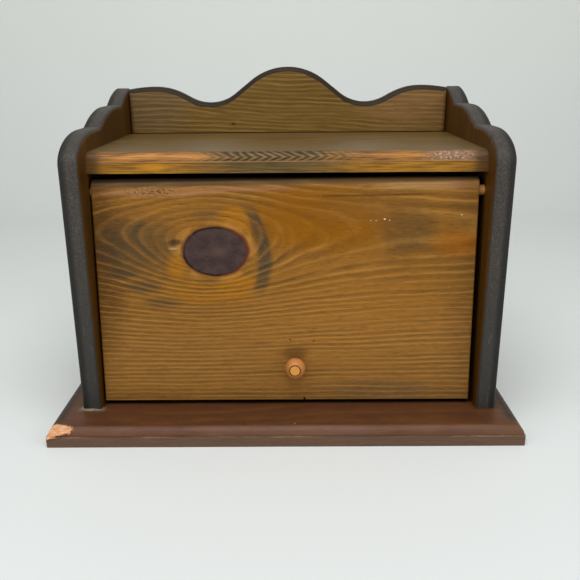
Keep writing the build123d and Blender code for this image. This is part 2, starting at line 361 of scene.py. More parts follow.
# %% Materials
def finish(name, recipe, coat=0.0, metal=0.0, relief=0.25, specular=0.22):
    """A material from recipe(tree), which returns colour, roughness and height. The height
    is counted in units of relief, which is in millimetres."""
    material = bpy.data.materials.new(name)
    material.use_nodes = True
    tree = material.node_tree
    shader = tree.nodes["Principled BSDF"]
    colour, roughness, height = recipe(tree)
    plug(colour, shader.inputs["Base Color"])
    plug(roughness, shader.inputs["Roughness"])
    shader.inputs["Coat Weight"].default_value = coat
    shader.inputs["Coat Roughness"].default_value = 0.3
    shader.inputs["Metallic"].default_value = metal
    shader.inputs["Specular IOR Level"].default_value = specular
    bump = tree.nodes.new("ShaderNodeBump")
    bump.inputs["Distance"].default_value = relief * MM
    plug(height, bump.inputs["Height"])
    tree.links.new(bump.outputs[0], shader.inputs["Normal"])
    return material


def dress(material, *names):
    """Give the material to nodes of the frame."""
    for name in names:
        for slot in nodes[name].material_slots:
            slot.material = material
    print(material.name, "on", ", ".join(names))


# %% [markdown]
# ## The door
#
# One wide flat-sawn board, stained golden brown. Its eye-catcher is a dark oval knot, and
# the rings swell around it like water around a stone. In the ring formula that is a dent
# in the distance from the pith: close to the knot the lines close into ovals, further off
# they only bend. The soft early wood took a greenish black stain in a few places, the upper
# round is rubbed pinkish, with a painted highlight band, and the left end is darker and redder.

# %% The knot
knot = np.array([door_middle - 66.5, head - 67.7])     # x and z of its middle
knot_halves = np.array([31.0, 23.5])                   # half its length and height
swirl = knot + (-10.0, 2.0)                            # the ovals reach further to its left
swirl_fade = np.array([60.0, 43.0])                    # the swell falls to a third this far out
print("knot at", knot.round(1))


def oval(x, z, centre, halves):
    """How many half axes away from the centre of an oval a point is."""
    return (((x - centre[0]) / halves[0]).square() + ((z - centre[1]) / halves[1]).square()).root()


# %% Stains and marks on the door, from its knot
# along, up, half length, half height and strength of each greenish black stain
door_stains = (
    (-75.0, 5.0, 48.0, 38.0, 0.8), (-70.0, 22.0, 15.0, 10.0, 0.9), (-88.0, -20.0, 24.0, 9.0, 0.8),
    (-70.0, -34.0, 24.0, 9.0, 0.8), (-52.0, -50.0, 24.0, 8.0, 0.6), (-8.0, 36.0, 16.0, 7.0, 0.45),
    (-2.0, -29.0, 18.0, 4.0, 0.4),
)
# along, up, half length, half height and strength of each orange place, from the knot
amber_places = (
    (20.0, -33.0, 23.0, 16.0, 0.9), (-38.0, -14.0, 11.0, 15.0, 0.95), (21.0, 31.0, 21.0, 17.0, 0.85),
    (-12.0, -40.0, 60.0, 16.0, 0.55),
)
white_flecks = (
    (160.0, 29.8, 1.0), (147.0, 28.6, 0.5), (152.0, 28.4, 0.5), (164.5, 28.6, 0.6),
    (232.0, 33.5, 0.8), (248.0, 34.0, 0.8),
)


# %% Small spots, and patches that are placed from the knot
def spot(x, z, centre, halves, core=0.5, bend=0.0):
    """1 in the core of a small oval and 0 outside it; bend is noise for an uneven rim."""
    return fall(oval(x, z, centre, halves) + bend, core, 1.1)


def near_knot(x, z, along, up, half_along, half_up, ragged):
    """A patch whose centre is counted from the middle of the knot."""
    return patch(x, z, (knot[0] + along, knot[1] + up), (half_along, half_up), ragged)


# %% [markdown]
# The colour is built up in coats, in the order of a workbench: the ground, the rings and
# fibres, the black stain, the knot, the worn top with its painted highlight, the foot with
# its painted shadow, and last the marks by the knob.

# %% The ground, where the stain took
def door_ground(x, z, grime, golden, orange):
    """Golden at the upper middle, olive and orange at the right, umber at the left."""
    dull = fall(z, foot + 47.5, foot + 127.5)
    bright = patch(x, z, (door_middle + 52, head - 130), (120, 62))
    foot_shade = fall(z, foot + 3.0, foot + 18.0)
    greyed = patch(x, z, (door_middle + 70, head - 30), (60, 16), 1.2)
    olive = patch(x, z, (door_middle + 116, head - 50), (36, 27), 1.2)
    far_end = rise(x, door_high[0] - 44.0, door_high[0] - 6.0)
    umber = patch(x, z, (door_low[0] + 4, head - 77), (34, 105))
    soiled = patch(x, z, (door_middle + 95, foot + 11.5), (80, 14), 1.3)
    colour = coats(
        tint(grime, "#7b521a", "#966425"),
        (dull, 0.5, "#926734"), (bright, 0.45, "#a26c2a"), (foot_shade, 0.4, "#5a3d1c"),
        (golden, 0.92, "#875404"), (greyed, 0.4, "#6f5430"),
    )
    for *spread, strength in amber_places:
        colour = tint(near_knot(x, z, *spread, 0.8) * strength, colour, "#a4690d")
    return coats(
        colour,
        (olive, 0.75, "#5d4424"), (far_end, 0.3, "#5b4022"), (orange, 0.9, "#90540b"),
        (umber, 0.75, "#523315"), (soiled, 0.5, "#66503a"),
    )


# %% Rings, fibres and pores
def door_figure(colour, x, y, z, wood, golden, orange, from_swirl):
    """Dark bands and light lines of the rings, fainter in the golden part; then the fibres."""
    plain = 1.0 - golden * 0.45 - orange * 0.5
    nearby = fall(from_swirl, 0.9, 2.2) * 0.25
    dashes = noise(x * 0.11, z * 0.95, y * 0.95, 4.0, 0.72)
    return coats(
        colour,
        (wood["Band"] * plain, nearby + 0.42, "#4f3a1c"), (wood["Line"] * plain, 0.5, "#b1823e"),
        (rise(wood["Fibre"], 0.52, 0.72), 0.3, "#a4762e"),
        (fall(wood["Fibre"], 0.28, 0.48), 0.4, "#593d1a"),
        (wood["Pores"], 0.4, "#432e14"),
        (rise(dashes, 0.54, 0.7), 0.4, "#4f3817"), (fall(dashes, 0.3, 0.45), 0.32, "#b0823c"),
        (golden, 0.35, "#874f00"),
    )


# %% The black stain beside the knot
def door_stain(colour, x, z, wood, wobble):
    """Greenish black in the ovals left of the knot, and in an arc right of it. The dark bands
    of the rings soaked up more of it, the light lines less."""
    bowed = x - (knot[0] + 47.0) + (z - (knot[1] - 8.0)).square() * 0.0062
    stain = fall(abs(bowed + wobble * 6.0), 3.0, 9.0) * fall(abs(z - (knot[1] + 2.0)), 28.0, 52.0)
    for *spread, strength in door_stains:
        stain = stain.math("MAXIMUM", near_knot(x, z, *spread, 1.2) * strength)
    soaked = 0.5 + wood["Band"] * 0.3 - wood["Line"] * 0.2 + wood["Fibre"] * 0.25
    colour = tint(stain.math("MINIMUM", 1.0) * soaked, colour, "#38362a")
    specks = rise(noise(x * 0.5, z * 0.7, 0.0, 3.0), 0.6, 0.7) * rise(x, knot[0], knot[0] + 10.0)
    return tint(stain * specks * 0.4, colour, "#8f8a78")


# %% The knot itself
def door_knot(colour, x, z, from_knot, wobble):
    """Purple-brown with rays, a fine black rim that is reddish at the right, a lighter halo,
    and a small gleaming crack at its left."""
    lit = rise(noise(x * 0.045, z * 0.045, 0.0, 2.0), 0.42, 0.6)
    halo = rise(from_knot, 1.03, 1.1) * fall(from_knot, 1.14, 1.34)
    rays = noise(x * 0.07, z * 0.1, 0.0, 5.0, 0.75)
    heart = tint(rise(rays, 0.36, 0.64), "#3c2d2c", "#4b3b37")
    heart = tint(spot(x, z, knot + (3.0, -1.0), (10.0, 7.0), 0.2) * 0.4, heart, "#60483a")
    rim = rise(from_knot, 0.9, 0.97) * fall(from_knot, 0.98, 1.04)
    reddish = rim * rise(x, knot[0] + 8.0, knot[0] + 22.0)
    crack = spot(x, z, knot + (-38.0, 9.0), (9.0, 4.0), 0.4, wobble)
    gleam = spot(x, z, knot + (-40.0, 3.0), (6.0, 1.5), 0.4, wobble)
    return coats(
        colour,
        (halo * lit, 0.55, "#b67e3c"), (fall(from_knot, 1.0, 1.12), 0.6, "#6b3d20"),
        (fall(from_knot, 0.96, 1.0), 1.0, heart), (rim, 1.15 - lit * 0.5, "#2a1715"),
        (reddish, 0.6, "#6b3524"), (crack, 0.75, "#35291f"), (gleam, 0.8, "#aa8e6b"),
    )


# %% The round along its top
def door_top(colour, x, y, z, height, rub_and_highlight_left, worn, wobble):
    """Grey above; below it rubbed pinkish wear with a painted highlight band along the round,
    with dark pores left of the middle. The height is counted from the worn upper edge, so it
    is negative on the face."""
    # the three rub patches are wear on the round with a painted highlight band laid on it
    rub_and_highlight_middle = patch(x, height, (door_middle - 35, -8.5), (52, 2.8), 1.0)
    rub_and_highlight_right = patch(x, height, (door_high[0] - 50, -8.5), (70, 5.0), 1.0)
    blush = rub_and_highlight_right * rise(x, door_high[0] - 40.0, door_high[0] - 10.0)
    speckle = rise(noise(x * 0.4, z * 0.7, y * 0.7, 3.0), 0.5, 0.6)
    pitted = patch(x, height, (door_low[0] + 55, -9.5), (34, 6), 0.6)
    under = fall(oval(x, height, (door_middle + 85, -16.5), (60.0, 1.6)) + wobble * 1.4, 0.5, 1.2)
    return coats(
        colour,
        (rub_and_highlight_left * worn, 0.62, "#b2815a"), (rub_and_highlight_middle * worn, 0.6, "#a5745a"),
        (rub_and_highlight_right * worn, 0.7, "#b08a5c"), (blush, 0.5, "#7c4c40"),
        (pitted * speckle, 0.75, "#4b3522"), (under, 0.65, "#4c3314"),
        (rise(height, -6.2, -4.0), 0.75, "#51412e"), (rise(height, -1.8, -0.6), 0.8, "#2e261c"),
    )


# %% Its foot, its flecks and the marks by the knob
def door_foot(colour, x, z, worn, nicks):
    """A light line over a lower edge that is painted near black as the shadow of the gap
    below the door, nicks, the little split, and white flecks.
    """
    light_line = rise(z, foot + 1.0, foot + 2.0) * fall(z, foot + 2.8, foot + 4.0)
    split = fall(abs(x - (door_middle + 17.8)), 0.6, 1.2) * fall(z, foot + 4.0, foot + 5.5)
    colour = coats(
        colour,
        # the near black lowest two millimetres are painted shadow of the gap under the door
        (light_line * worn, 0.45, "#b08748"), (fall(z, foot + 0.8, foot + 2.0), 0.85, "#22150a"),
        (nicks, 0.3, "#caa878"), (split, 1.0, "#1c1008"),
    )
    for along, up, size in white_flecks:
        fleck = spot(x, z, knot + (along, up), (1.2 * size, 0.8 * size))
        colour = tint(fleck * 0.85, colour, "#e4d6bf")
    return colour


def knob_marks(colour, x, z):
    """Grime and a waxed spot above the knob, and the two holes of an older knob's pins."""
    middle, top = (knob_low[0] + knob_high[0]) / 2, knob_high[2]
    grimy = patch(x, z, (middle, top + 3.0), (17, 9), 0.7)
    waxed = spot(x, z, (middle + 1.0, top + 14.0), (4.0, 3.0), 0.3)
    colour = coats(colour, (grimy, 0.6, "#4d3417"), (waxed, 0.5, "#8b741b"))
    for along, up in ((-4.5, 16.5), (18.5, 15.0)):
        hole = spot(x, z, (middle + along, top + up), (1.3, 1.1))
        colour = tint(hole * 0.75, colour, "#3a2412")
    return colour


# %% The door's wood
def door_recipe(tree):
    """Every coat over the rings around the knot; a little smoother where it was rubbed."""
    x, y, z = place(tree)
    wobble = noise(x * 0.035, z * 0.035, 0.0, 3.0) - 0.5
    from_knot = oval(x, z, knot, knot_halves) + wobble * 0.1
    from_swirl = oval(x, z, swirl, swirl_fade) + wobble * 0.12
    swell = (-from_swirl).math("EXPONENT") * -60.0
    wood = use(
        tree, growth_rings, Along=x, Across=z, Depth=y, Pith_across=192.0, Pith_depth=-22.0,
        Ring_width=4.7, Wander=16.0, Swell=swell,
    )
    marks = use(tree, handling_marks, X=x, Y=y, Z=z, Nick_size=0.03)
    golden = patch(x, z, (door_middle + 30, head - 39), (92, 36))
    orange = patch(x, z, (door_middle + 166, head - 61), (37, 16), 0.9)
    worn = rise(noise(x * 0.03, z * 0.9, y * 0.9, 4.0, 0.66), 0.36, 0.64) * 0.5 + 0.4
    upper_edge = head + (x - door_middle) * 0.012
    # rubbed wear on the left of the top round, with a painted highlight band on it
    rub_and_highlight_left = patch(x, z - upper_edge, (door_low[0] + 62, -10.0), (78, 6.5), 1.0)

    colour = door_ground(x, z, marks["Grime"], golden, orange)
    colour = door_figure(colour, x, y, z, wood, golden, orange, from_swirl)
    colour = door_stain(colour, x, z, wood, wobble)
    colour = door_knot(colour, x, z, from_knot, wobble)
    colour = door_top(colour, x, y, z, z - upper_edge, rub_and_highlight_left, worn, wobble)
    colour = door_foot(colour, x, z, worn, marks["Nicks"])
    colour = knob_marks(colour, x, z)
    sheen = 0.36 + marks["Grain"] * 0.2 - rub_and_highlight_left * 0.05
    return colour, sheen, wood["Relief"] + marks["Grain"] * 0.2


dress(finish("golden_pine", door_recipe, relief=0.16, specular=0.1), "front_door")

# %% [markdown]
# ## The sides and the closed back
#
# The same pine under a nearly black stain. The broad faces are dark brown and smooth. The
# sawn edges drank the stain and went charcoal grey, with a fine speckle; their outer rounded
# arris is painted near black as shade, and the inner one, where it turns into the face, is
# darker. Which way a point faces tells a face from an edge.

# %% Sides
def charcoal_edge(x, y, z, grain):
    """The sawn edges: speckled grey with scuffs, darker low down, with painted shade near black
    on the outer arris and a darker inner arris.
    """
    height = z - left_low[2]
    scuffs = rise(noise(x * 0.3, y * 0.05, z * 0.05, 4.0, 0.7), 0.58, 0.72)
    specks = rise(noise(x * 0.45, y * 0.45, z * 0.45, 3.0, 0.7), 0.54, 0.68)
    specks = specks * rise(height, 101.0, 241.0)
    out = abs(x - case_middle)
    # painted shade, near black, on the outer rounded arris
    outer = rise(out, half_case - 9.5, half_case - 4.0)
    inner = fall(out, half_inside + 0.4, half_inside + 2.5)
    return coats(
        tint(rise(grain, 0.35, 0.68), "#2f2b28", "#4f4943"),
        (fall(height, 41.0, 181.0), 0.55, "#333331"), (scuffs, 0.4, "#6d665f"),
        (specks, 0.45, "#6f6860"), (outer, 0.8, "#1b1a18"), (inner, 0.6, "#2a2019"),
    )


def sides_recipe(tree):
    """Brown where a point faces left or right, and charcoal on the edges between."""
    x, y, z = place(tree)
    wood = use(
        tree, growth_rings, Along=z, Across=y, Depth=x, Pith_across=30.0, Pith_depth=300.0,
        Ring_width=6.5, Wander=26.0,
    )
    marks = use(tree, handling_marks, X=x, Y=y, Z=z, Nick_size=0.05)
    brown = coats(
        tint(marks["Grime"], "#432a09", "#593708"),
        (wood["Band"], 0.4, "#281908"), (wood["Line"], 0.3, "#67471a"),
        (rise(wood["Fibre"], 0.5, 0.8), 0.3, "#5d3f14"),
    )
    on_edge = fall(abs(facing(tree, 0)), 0.72, 0.93)
    colour = tint(on_edge, brown, charcoal_edge(x, y, z, marks["Grain"]))
    colour = tint(marks["Nicks"] * 0.35, colour, "#8c8073")
    sheen = 0.4 + on_edge * 0.08 + marks["Grain"] * 0.12
    return colour, sheen, wood["Relief"] * 0.5 + marks["Grain"] * (on_edge * 0.8 + 0.2)


dress(finish("dark_pine", sides_recipe, relief=0.22), "side_left", "side_right")


# %% Back board and stop batten
def back_recipe(tree):
    x, y, z = place(tree)
    wood = use(
        tree, growth_rings, Along=x, Across=z, Depth=y, Pith_across=150.0, Pith_depth=210.0,
        Ring_width=6.0, Wander=30.0,
    )
    marks = use(tree, handling_marks, X=x, Y=y, Z=z, Nick_size=0.05)
    colour = coats(
        tint(marks["Grime"], "#3a2614", "#553a1d"),
        (wood["Band"], 0.5, "#281a0d"), (wood["Line"], 0.4, "#7a5730"),
        (rise(wood["Fibre"], 0.5, 0.85), 0.3, "#6b4b29"), (marks["Nicks"], 0.35, "#8c7a60"),
    )
    return colour, 0.46 + marks["Grain"] * 0.14, wood["Relief"] + marks["Grain"] * 0.3


dress(finish("dark_pine_back", back_recipe, relief=0.2), "back_board", "door_stop")

# %% [markdown]
# ## The shelf
#
# Olive brown on top, where it caught the light for years. The moulded front edge is lighter
# and changes along its length: orange at the left, then dark olive where the saw cut the
# rings into a row of arrow heads, then rubbed pinkish white at the right.

# %% The shelf's front edge
arrow_spacing = 8.6            # from one arrow head to the next
arrow_slant = 2.4              # how far an arm runs along the edge for each unit up or down


def arrow_heads(x, z, drift, streak, upper, quirk):
    """Rings that the saw cut on the slant, with their points to the right. The lines repeat with
    the distance along the edge plus the slant times the distance from the round's middle."""
    height = abs(z - (quirk + 4.0) + drift * 3.0)
    arrows = ((x + height * arrow_slant + drift * 14.0) / arrow_spacing).math("FRACT")
    dark_lines = rise(arrows, 0.3, 0.62) * fall(arrows, 0.84, 1.0) * upper
    pale_lines = fall(abs(arrows - 0.14), 0.05, 0.18) * upper
    return coats(
        tint(streak, "#4a3c22", "#695533"),
        (pale_lines, 0.5, "#8f7345"), (dark_lines, drift + 0.85, "#28220f"),
    )


def shelf_band(x, y, z):
    """A golden square below, and above it a round with arrow heads in the middle, rubbed
    pinkish wood with a painted highlight at the left, and pits with pale crumbs near the right end."""
    quirk = shelf_low[2] + quirk_height
    upper = rise(z, quirk - 0.3, quirk + 0.3)
    drift = noise(x * 0.02, z * 0.1, 0.0, 3.0) - 0.5
    streak = rise(noise(x * 0.03, z * 0.95, y * 0.95, 4.0, 0.66), 0.38, 0.62)
    band = tint(upper, tint(streak, "#74501c", "#ab7626"), tint(streak, "#664526", "#ae7636"))
    golden = patch(x, z, (case_middle - 124.0, quirk - 5.0), (16, 4.5), 1.2)
    in_middle = patch(x, z, (case_middle - 14.0, quirk + 2.0), (92, 30), 0.5)
    # rubbed pinkish wood at the left of the round, partly a painted highlight
    shelf_rub_and_highlight = patch(x, z, (shelf_low[0] + 66, quirk + 4.5), (74, 4.0), 1.2) * upper * streak
    rubbed_right = patch(x, z, (shelf_high[0] - 31, quirk + 4.0), (36, 7.0), 0.8) * upper
    pits = rise(noise(x * 0.3 + 40.0, y * 0.6, z * 0.6, 4.0, 0.7), 0.52, 0.6)
    crumbs = rise(noise(x * 0.4, y * 0.8, z * 0.8, 4.0, 0.7), 0.52, 0.62)
    lip = rise(z, quirk - 0.7, quirk - 0.2) * fall(z, quirk + 0.3, quirk + 0.9)
    dark_ends = rise(abs(x - case_middle) + drift * 8.0, half_inside - 17.0, half_inside - 6.0)
    return coats(
        band,
        (golden, 0.6, "#c4861a"), (in_middle, 0.92, arrow_heads(x, z, drift, streak, upper, quirk)),
        (shelf_rub_and_highlight, 0.55, "#cb8b4c"), (rubbed_right, 0.8, "#856750"),
        (rubbed_right * pits, 0.75, "#46321f"), (rubbed_right * crumbs, 0.75, "#c8ab95"),
        (lip, drift + 0.45, "#b08d6c"), (dark_ends, 0.75, "#443221"),
    )


# %% The shelf's wood
def shelf_recipe(tree):
    """The flat top, with a dark seam at its back, and the moulded front laid over it."""
    x, y, z = place(tree)
    wood = use(
        tree, growth_rings, Along=x, Across=y, Depth=z, Pith_across=40.0, Pith_depth=330.0,
        Ring_width=5.0, Wander=30.0,
    )
    marks = use(tree, handling_marks, X=x, Y=y, Z=z, Nick_size=0.035)
    front = fall(y, shelf_low[1] + moulding_round, shelf_low[1] + moulding_round + 1.6)
    crest = rise(y, shelf_low[1] + 5.0, shelf_low[1] + 8.0) * front
    seam = rise(y, shelf_high[1] - 1.6, shelf_high[1] - 0.4)
    colour = coats(
        tint(marks["Grime"], "#5a441f", "#705933"),
        (wood["Band"], 0.35, "#43331b"), (wood["Line"], 0.3, "#8c7248"),
        (rise(wood["Fibre"], 0.5, 0.8), 0.35, "#8a7148"), (seam, 0.9, "#1f160b"),
        (front, 1.0, shelf_band(x, y, z)), (crest, 0.6, "#4a3a24"), (marks["Nicks"], 0.3, "#b59b78"),
    )
    sheen = 0.3 + marks["Grain"] * 0.2
    return colour, sheen, wood["Relief"] + marks["Grain"] * 0.15


dress(finish("olive_pine", shelf_recipe, relief=0.14, specular=0.16), "top_shelf")

# %% [markdown]
# ## The gallery
#
# Olive brown too, with fine level lines, greyer at its left end. Its scalloped round-over
# is burnished almost black, and a thin rubbed line runs below it, worn pale and painted as a
# highlight where the round starts to face up.

# %% The gallery's wood
def gallery_recipe(tree):
    """The flat face first, then its edges: how far a point faces up tells the round-over."""
    x, y, z = place(tree)
    face_z = facing(tree, 2)
    wood = use(
        tree, growth_rings, Along=x, Across=z, Depth=y, Pith_across=420.0, Pith_depth=190.0,
        Ring_width=4.2, Wander=24.0, Swell=fall(x, case_middle - 150.0, case_middle + 10.0) * 13.0,
    )
    marks = use(tree, handling_marks, X=x, Y=y, Z=z, Nick_size=0.035)
    shoulder = gallery_high[2] - 41
    greyed = patch(x, z, (gallery_low[0] + 26, shoulder), (56, 48))
    ruddy = patch(x, z, (gallery_high[0] - 42, shoulder), (70, 40))
    colour = coats(
        tint(marks["Grime"], "#644919", "#7f6230"),
        (greyed, 0.7, "#6c5840"), (ruddy, 0.75, "#8a6640"),
        (wood["Band"], 0.34, "#453313"), (wood["Line"], 0.45, "#a5844a"),
        (rise(wood["Fibre"], 0.5, 0.72), 0.45, "#93763f"),
        (fall(wood["Fibre"], 0.28, 0.46), 0.4, "#48351a"), (wood["Pores"], 0.25, "#3a2a12"),
    )

    # the burnished round-over with the rubbed line below it, which is wear with a painted
    # highlight, dark seams, and a small knot
    # the rubbed line: worn finish with a painted highlight where the round starts to face up
    rubbed = rise(face_z, 0.001, 0.01) * fall(face_z, 0.05, 0.16)
    broken = rise(noise(x * 0.025, z * 0.02, 0.0, 2.0), 0.4, 0.6)
    burnished = tint(marks["Grain"], "#14110d", "#2f281e")
    at_shelf = fall(z, shelf_high[2] + 0.5, shelf_high[2] + 1.9)
    at_shelf = at_shelf * fall(y, gallery_low[1] + 0.5, gallery_low[1] + 2.0)
    at_ends = rise(abs(x - case_middle), half_inside - 2.2, half_inside - 0.6)
    seams = (at_shelf + at_ends * 0.85).math("MINIMUM", 1.0)
    small_knot = spot(x, z, (case_middle - 64.0, shelf_high[2] + 10.5), (3.2, 2.0))
    colour = coats(
        colour,
        (rubbed, broken * 0.5 + 0.03, "#99765a"), (rise(face_z, 0.05, 0.2), 0.94, burnished),
        (seams, 0.9, "#1b1209"), (small_knot, 0.75, "#3c2812"), (marks["Nicks"], 0.3, "#a88f68"),
    )
    return colour, 0.36 + marks["Grain"] * 0.18, wood["Relief"] + marks["Grain"] * 0.2


dress(finish("olive_pine_gallery", gallery_recipe, relief=0.14, specular=0.14), "back_gallery")

# %% [markdown]
# ## The base board
#
# A redder brown. The round along its front is rubbed to a dusty pink, with a painted
# reflection of the pale surroundings laid in the same pink, and a thin light line where the
# small square step catches the light. A split has taken the front left corner off, down to
# bare wood. The split is a flat face in the frame, so the bare wood is painted where a point
# lies on that plane, with a ragged rim.

# %% Where the split corner lies
chip_length = 22.0             # how far along the front it reaches
chip_turn = math.radians(14.0)
chip_climb = math.radians(49.0)
chip_faces = (
    -math.sin(chip_turn) * math.cos(chip_climb),
    -math.cos(chip_turn) * math.cos(chip_climb),
    math.sin(chip_climb),
)
moulding_step = 1.2            # how far the round starts behind the square
half_round = moulding_round * (1 - math.cos(math.radians(45.0)))
chip_point = np.array([
    base_low[0] + chip_length,
    base_low[1] + moulding_step + half_round,
    base_high[2] - half_round,
])
print("the split passes through", chip_point.round(2))

# %% The rim and the middle of the base board
def base_rim(colour, x, y, z, fibre):
    """A pink round, partly dusty wear and partly a painted reflection, dark ends, painted shade
    near black on the middle under the box, a dull brown square, and a light broken line where
    the round meets the square, painted where the step catches the light."""
    thin = rise(noise(x * 0.012, y * 0.03, z * 0.03, 3.0), 0.3, 0.7)
    # the pink on the round is partly wear and partly a painted reflection
    rounded = rise(z, quirk_height, quirk_height + 0.8) * fall(z, base_high[2] - 0.7, base_high[2])
    rounded = rounded * fall(y, base_low[1] + 9.0, base_low[1] + 16.0)
    ends = rise(abs(x) + (thin - 0.5) * 3.0, base_high[0] - 16.0, base_high[0] - 8.0)
    ends = ends * rise(z, quirk_height, quirk_height + 1.0)
    ends = ends * rise(y, base_low[1] + 4.0, base_low[1] + 22.0)
    # painted shade, near black, on the board behind the door and between the sides
    inside_front = left_low[1] + 11.5
    shade_behind_door = rise(y, inside_front, inside_front + 4.0)
    shade_behind_door = shade_behind_door * fall(abs(x - case_middle), half_inside, half_inside + 1.0)
    square = fall(z, quirk_height - 0.6, quirk_height - 0.1)
    lip = rise(z, quirk_height - 0.9, quirk_height - 0.4) * fall(z, quirk_height + 0.1, quirk_height + 0.5)
    patchy = rise(noise(x * 0.009, y * 0.05, 0.0, 6.0, 0.7), 0.46, 0.7)
    return coats(
        colour,
        (rounded, thin * 0.42 + 0.14, "#7b5b4a"), (ends, 0.85, "#2b2219"), (shade_behind_door, 0.85, "#170e08"),
        (square, 0.85, tint(fibre, "#4f3b2d", "#755b49")), (lip, patchy * 0.75 + 0.12, "#a98972"),
    )


# %% Painted shade and glue against the feet of the sides
def from_foot(x, y, low, high):
    """How far a point of the board is outside the foot of a side, in millimetres."""
    beside = abs(x - (low[0] + high[0]) / 2.0) - (high[0] - low[0]) / 2.0
    return beside.math("MAXIMUM", low[1] - y)


def base_feet(colour, x, y, z):
    """Painted shade, dark, round both feet, and over it a thin film of glue at the front left one."""
    on_top = rise(z, base_high[2] - 1.0, base_high[2] - 0.1)
    at_left = from_foot(x, y, left_low, left_high)
    at_right = from_foot(x, y, right_low, right_high)
    smear = at_left + (noise(x * 0.3, y * 0.3, 0.0, 4.0, 0.7) - 0.5) * 6.0
    film = fall(smear, 1.0, 5.0) * fall(y, left_low[1] + 2.0, left_low[1] + 9.0) * on_top
    return coats(
        colour,
        # the dark band round each foot is painted shade where the side meets the board
        (fall(at_left, 0.0, 5.0) * on_top, 0.6, "#2b1b10"), (film, 0.5, "#877c68"),
        (fall(at_right, 0.0, 5.0) * on_top, 0.6, "#2b1b10"),
    )


# %% Bare wood on the split corner
def base_split(colour, x, y, z):
    """Bare where a point lies on or over the split's plane, with a ragged rim and a dark line
    round it. Returns the colour, the mask of the bare wood, and its splinters."""
    height = sum(
        (along - origin) * direction
        for along, origin, direction in zip((x, y, z), chip_point, chip_faces)
    )
    torn = height + (noise(x * 0.55, y * 0.4, z * 0.4, 4.0, 0.75) - 0.5) * 7.0
    near_corner = fall(x, chip_point[0] + 2.0, chip_point[0] + 5.0)
    bare = rise(height, -0.5, -0.25).math("MAXIMUM", rise(torn, -0.9, -0.5)) * near_corner
    edge = rise(torn, -2.2, -1.2) * (1.0 - bare) * near_corner
    splinters = noise(x * 0.16, y * 0.9, z * 0.9, 4.0, 0.7)
    raw = tint(rise(splinters, 0.3, 0.7), "#c07a4c", "#edbd93")
    return coats(colour, (bare, 1.0, raw), (edge, 0.7, "#472418")), bare, splinters


# %% The base board's wood
def base_recipe(tree):
    """The board, then its rim, its dents and nicks, the dirt at the feet, and the split."""
    x, y, z = place(tree)
    wood = use(
        tree, growth_rings, Along=x, Across=y, Depth=z, Pith_across=-10.0, Pith_depth=-260.0,
        Ring_width=6.2, Wander=30.0,
    )
    marks = use(tree, handling_marks, X=x, Y=y, Z=z, Nick_size=0.05)
    mottled = rise(noise(x * 0.03, y * 0.06, z * 0.06, 4.0, 0.6), 0.42, 0.62)
    dents = rise(noise(x * 0.16, y * 0.2, z * 0.5, 4.0, 0.7), 0.62, 0.7)
    colour = coats(
        tint(marks["Grime"], "#4e2f18", "#633d22"),
        (wood["Band"], 0.25, "#3c2413"), (wood["Line"], 0.14, "#7c4e30"),
        (mottled, 0.35, "#462a1c"), (rise(wood["Fibre"], 0.5, 0.8), 0.25, "#75492c"),
    )
    colour = base_rim(colour, x, y, z, wood["Fibre"])
    colour = coats(colour, (dents, 0.4, "#33200f"), (marks["Nicks"], 0.5, "#c09b82"))
    colour = base_feet(colour, x, y, z)
    colour, bare, splinters = base_split(colour, x, y, z)
    sheen = 0.36 + marks["Grain"] * 0.18 + bare * 0.3
    height = wood["Relief"] + marks["Grain"] * 0.25 + bare * splinters * 2.5 - dents * 0.8
    return colour, sheen, height


dress(finish("red_brown_pine", base_recipe, relief=0.2), "base_board")

# %% [markdown]
# ## Dowels, bead and nails
#
# The pins and the dowel in the knob are plain birch. The bead is a drilled wooden ball,
# orange under old varnish. On an end face the fibres show as dots, along the dowel as
# lines, and one stretched noise gives both.

# %% Dowels and bead
dowel_axis = ((knob_low + knob_high) / 2)[[0, 2]]
bead_depth = (knob_low[1] + knob_high[1]) / 2
door_lean = 4.4                # degrees out of plumb, foot forward
door_slope = math.tan(math.radians(door_lean))


def dowel_recipe(tree):
    x, y, z = place(tree)
    marks = use(tree, handling_marks, X=x, Y=y, Z=z, Nick_size=0.02)
    fibre = noise(x * 0.9, y * 0.12, z * 0.9, 3.0, 0.6)
    colour = tint(fibre, "#a8703a", "#d89a52")
    front_end = fall(y, knob_low[1] - 0.4, knob_low[1] + 1.2)
    colour = tint(front_end * 0.75, colour, tint(fibre, "#cf842c", "#eba548"))
    return colour, 0.42 + marks["Grain"] * 0.2, fibre + marks["Grain"] * 0.4


def bead_recipe(tree):
    x, y, z = place(tree)
    marks = use(tree, handling_marks, X=x, Y=y, Z=z, Nick_size=0.02)
    fibre = noise(x * 0.7, y * 0.1, z * 0.7, 3.0, 0.6)
    colour = tint(fibre, "#a5652c", "#cf8f4e")
    shade = fall(x, knob_low[0] + 1.0, knob_low[0] + 8.0)
    colour = tint(shade * 0.45, colour, "#7a481f")
    lean = (y - bead_depth) * door_slope
    from_axis = ((x - dowel_axis[0]).square() + (z - dowel_axis[1] + lean).square()).root()
    # painted shadow: a dark ring round the dowel where the gap between dowel and bead is in shade
    ring = fall(from_axis, 5.4, 6.4) * fall(y, knob_low[1] + 2.6, knob_low[1] + 4.4)
    colour = tint(ring * 0.9, colour, "#4a2410")
    return colour, 0.34 + marks["Grain"] * 0.16, fibre * 0.5 + marks["Grain"] * 0.3


dress(finish("birch_dowel", dowel_recipe, relief=0.08), "door_pin_left", "door_pin_right", "knob_dowel")
dress(finish("turned_bead", bead_recipe, relief=0.06, coat=0.15), "door_knob")

